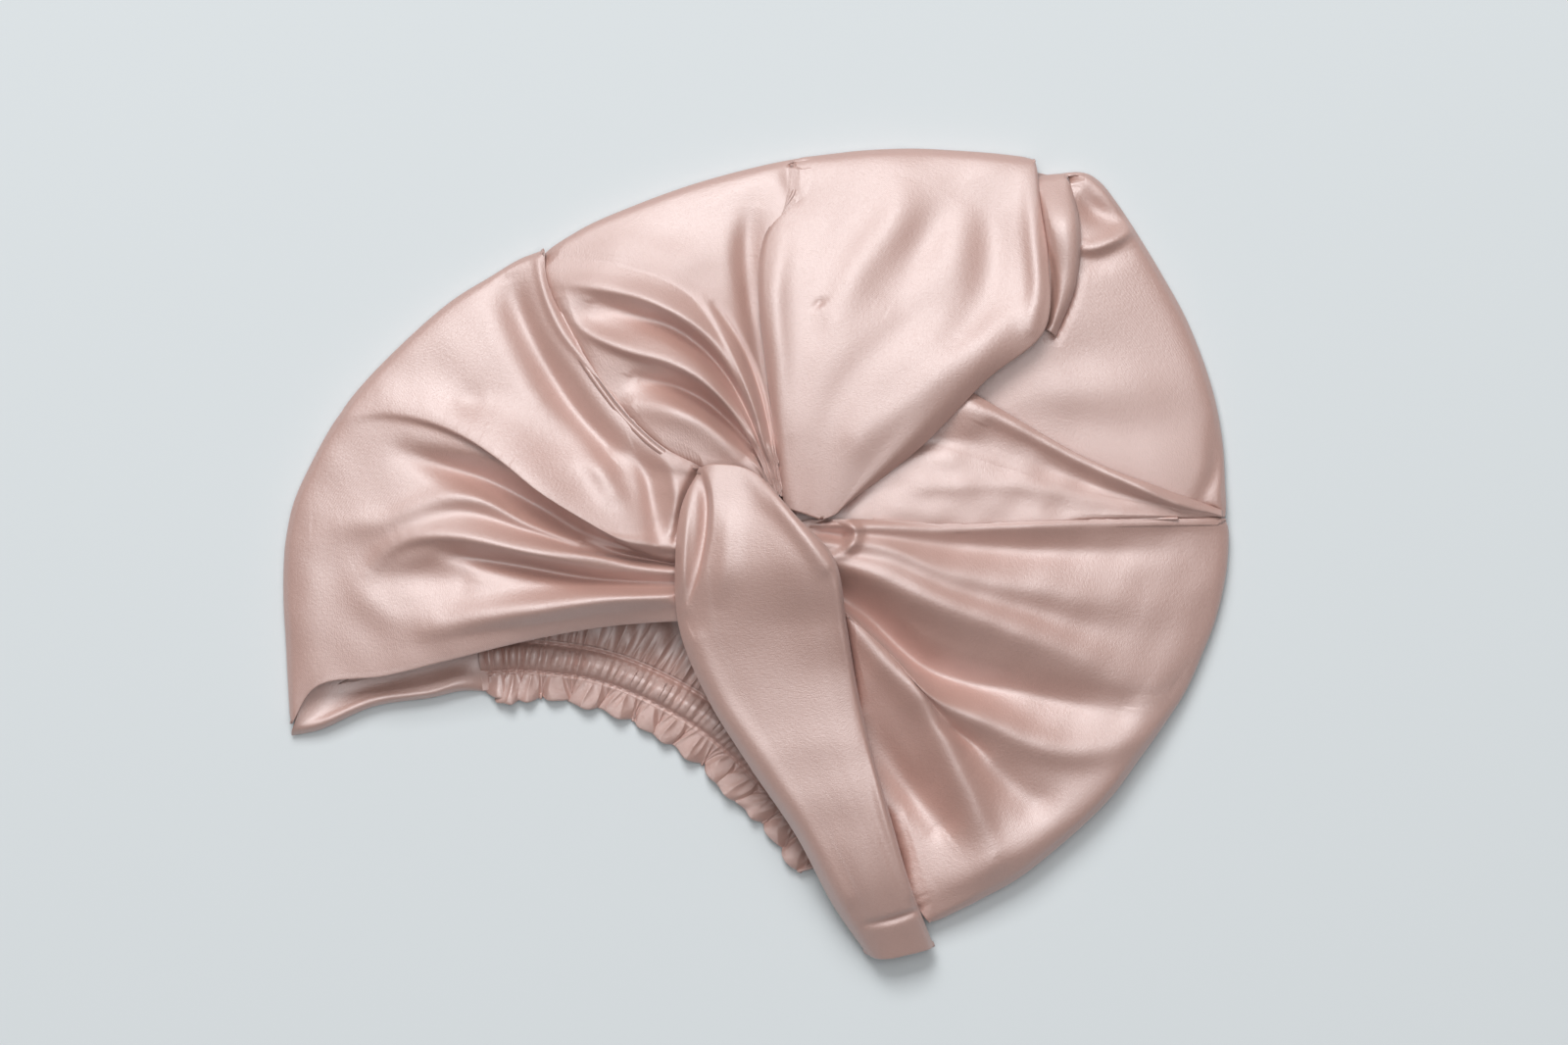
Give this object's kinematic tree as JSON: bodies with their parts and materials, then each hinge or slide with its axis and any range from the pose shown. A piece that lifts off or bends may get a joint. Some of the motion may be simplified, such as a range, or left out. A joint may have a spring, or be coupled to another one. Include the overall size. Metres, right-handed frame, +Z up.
{
  "type": "hair bonnet",
  "caption": "Twist-front satin hair bonnet lying flat, with a wrapped knot, pleated crown panels, a lining and a ruched elastic nape band.",
  "frame": {"origin": "on the surface it lies on, under the middle of its outline", "axes": "+X to the right as it lies with its knot up and its mouth towards the viewer, +Y towards the crown, +Z up through the knot"},
  "size_m": [0.3082, 0.2638, 0.045],
  "materials": {
    "silk_satin": "soft satin sheen, rose champagne",
    "lining_satin": "satin, a shade deeper than the face",
    "sewing_thread": "matt spun thread",
    "elastic_knit": "matt knitted elastic"
  },
  "bodies": {
    "bonnet": {"back_panel": "silk_satin", "back_lining": "lining_satin", "front_lining": "lining_satin", "left_front_panel": "silk_satin", "crown_left_panel": "silk_satin", "crown_centre_pleat": "silk_satin", "crown_return_fold": "silk_satin", "crown_right_panel": "silk_satin", "crown_right_pleat": "silk_satin", "right_front_panel": "silk_satin", "twist_wrap": "silk_satin", "knot_core": "silk_satin", "left_crown_seam": "silk_satin", "right_crown_seam": "silk_satin", "nape_left_hem": "silk_satin", "nape_right_hem": "silk_satin"},
    "nape_band": {"nape_casing_top": "silk_satin", "nape_elastic": "elastic_knit", "nape_casing_under": "silk_satin", "nape_frill": "silk_satin", "nape_gathers": "silk_satin", "upper_stitch_row": "sewing_thread", "lower_stitch_row": "sewing_thread"}
  },
  "joints": [
    {"name": "nape_stretch", "type": "slide", "parent": "bonnet", "child": "nape_band", "axis": [-0.323, -0.9464, 0], "range_m": [0, 0.025], "stiffness_N_per_m": 100, "deforming": ["nape_left_hem", "nape_right_hem"]}
  ]
}
